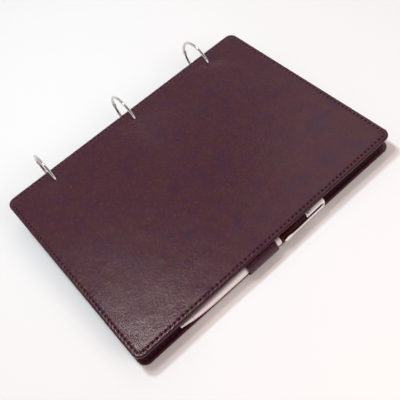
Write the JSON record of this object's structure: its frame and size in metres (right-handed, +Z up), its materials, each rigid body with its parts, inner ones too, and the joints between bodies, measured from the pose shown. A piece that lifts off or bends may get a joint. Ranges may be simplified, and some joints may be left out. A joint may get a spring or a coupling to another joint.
{
  "type": "ring-bound padfolio with pen",
  "caption": "Leather padfolio whose stiff covers and note paper turn on metal rings, with a twist pen in a loop at the open edge.",
  "frame": {"origin": "bottom centre of the closed padfolio's box, on the table that its rings and the back cover's open edge rest on", "axes": "+Z up, +Y along the rings towards the end with the pen's cap, +X from the rings towards the open edge"},
  "size_m": [0.2, 0.237, 0.0381],
  "materials": {
    "leather": "dark oxblood, fine grain, rolled and stitched edge",
    "inner_leather": "the same leather, smoother, on the inside",
    "lining": "dark woven lining",
    "board": "grey bookbinding board",
    "card": "plain buff card",
    "paper": "matt off-white",
    "nickel": "polished nickel plate",
    "satin_silver": "satin silver",
    "bright_chrome": "polished",
    "lacquer": "dark gloss lacquer",
    "brass": "plain turned",
    "black_plastic": "black"
  },
  "bodies": {
    "back": {"back_leather": "leather", "back_board": "board", "back_lining": "lining", "pen_loop": "inner_leather", "backing_card": "card", "back_leaves": "paper", "ring_1_base": "nickel", "ring_1_pin": "nickel", "ring_2_base": "nickel", "ring_2_pin": "nickel", "ring_3_base": "nickel", "ring_3_pin": "nickel"},
    "front_cover": {"front_leather": "leather", "front_board": "board", "front_lining": "lining", "front_pocket": "inner_leather"},
    "front_leaves": {"front_leaves": "paper"},
    "gate_1": {"ring_1_gate": "nickel"},
    "gate_2": {"ring_2_gate": "nickel"},
    "gate_3": {"ring_3_gate": "nickel"},
    "pen": {"pen_upper_barrel": "lacquer", "pen_centre_band": "satin_silver", "pen_cap": "bright_chrome", "pen_end_plug": "black_plastic", "pen_clip": "bright_chrome", "pen_twist_core": "brass"},
    "pen_lower": {"pen_lower_barrel": "satin_silver", "pen_nose": "satin_silver"},
    "refill": {"pen_refill": "brass"}
  },
  "joints": [
    {"name": "front_cover_hinge", "type": "hinge", "parent": "back", "child": "front_cover", "pos_m": [-0.08075, 0, 0.0191], "axis": [0, -1, 0], "range_deg": [0, 186]},
    {"name": "front_leaves_hinge", "type": "hinge", "parent": "back", "child": "front_leaves", "pos_m": [-0.08075, 0, 0.0191], "axis": [0, -1, 0], "range_deg": [0, 186]},
    {"name": "ring_1_gate_hinge", "type": "hinge", "parent": "back", "child": "gate_1", "pos_m": [-0.09861, -0.0784, 0.02017], "axis": [0, -1, 0], "range_deg": [0, 60]},
    {"name": "ring_2_gate_hinge", "type": "hinge", "parent": "back", "child": "gate_2", "pos_m": [-0.09861, 0.0016, 0.02017], "axis": [0, -1, 0], "range_deg": [0, 60]},
    {"name": "ring_3_gate_hinge", "type": "hinge", "parent": "back", "child": "gate_3", "pos_m": [-0.09861, 0.0816, 0.02017], "axis": [0, -1, 0], "range_deg": [0, 60]},
    {"name": "pen_slide", "type": "slide", "parent": "back", "child": "pen", "axis": [0, 1, 0], "range_m": [0, 0.102]},
    {"name": "pen_twist", "type": "hinge", "parent": "pen", "child": "pen_lower", "pos_m": [0.09414, 0, 0.00865], "axis": [0, 1, 0], "range_deg": [0, 180]},
    {"name": "refill_slide", "type": "slide", "parent": "pen", "child": "refill", "axis": [0, -1, 0], "range_m": [0, 0.0035]}
  ],
  "couplings": [
    {"joint": "front_leaves_hinge", "follows": "front_cover_hinge", "ratio": 1},
    {"joint": "refill_slide", "follows": "pen_twist", "m_per_rad": 0.001114}
  ]
}
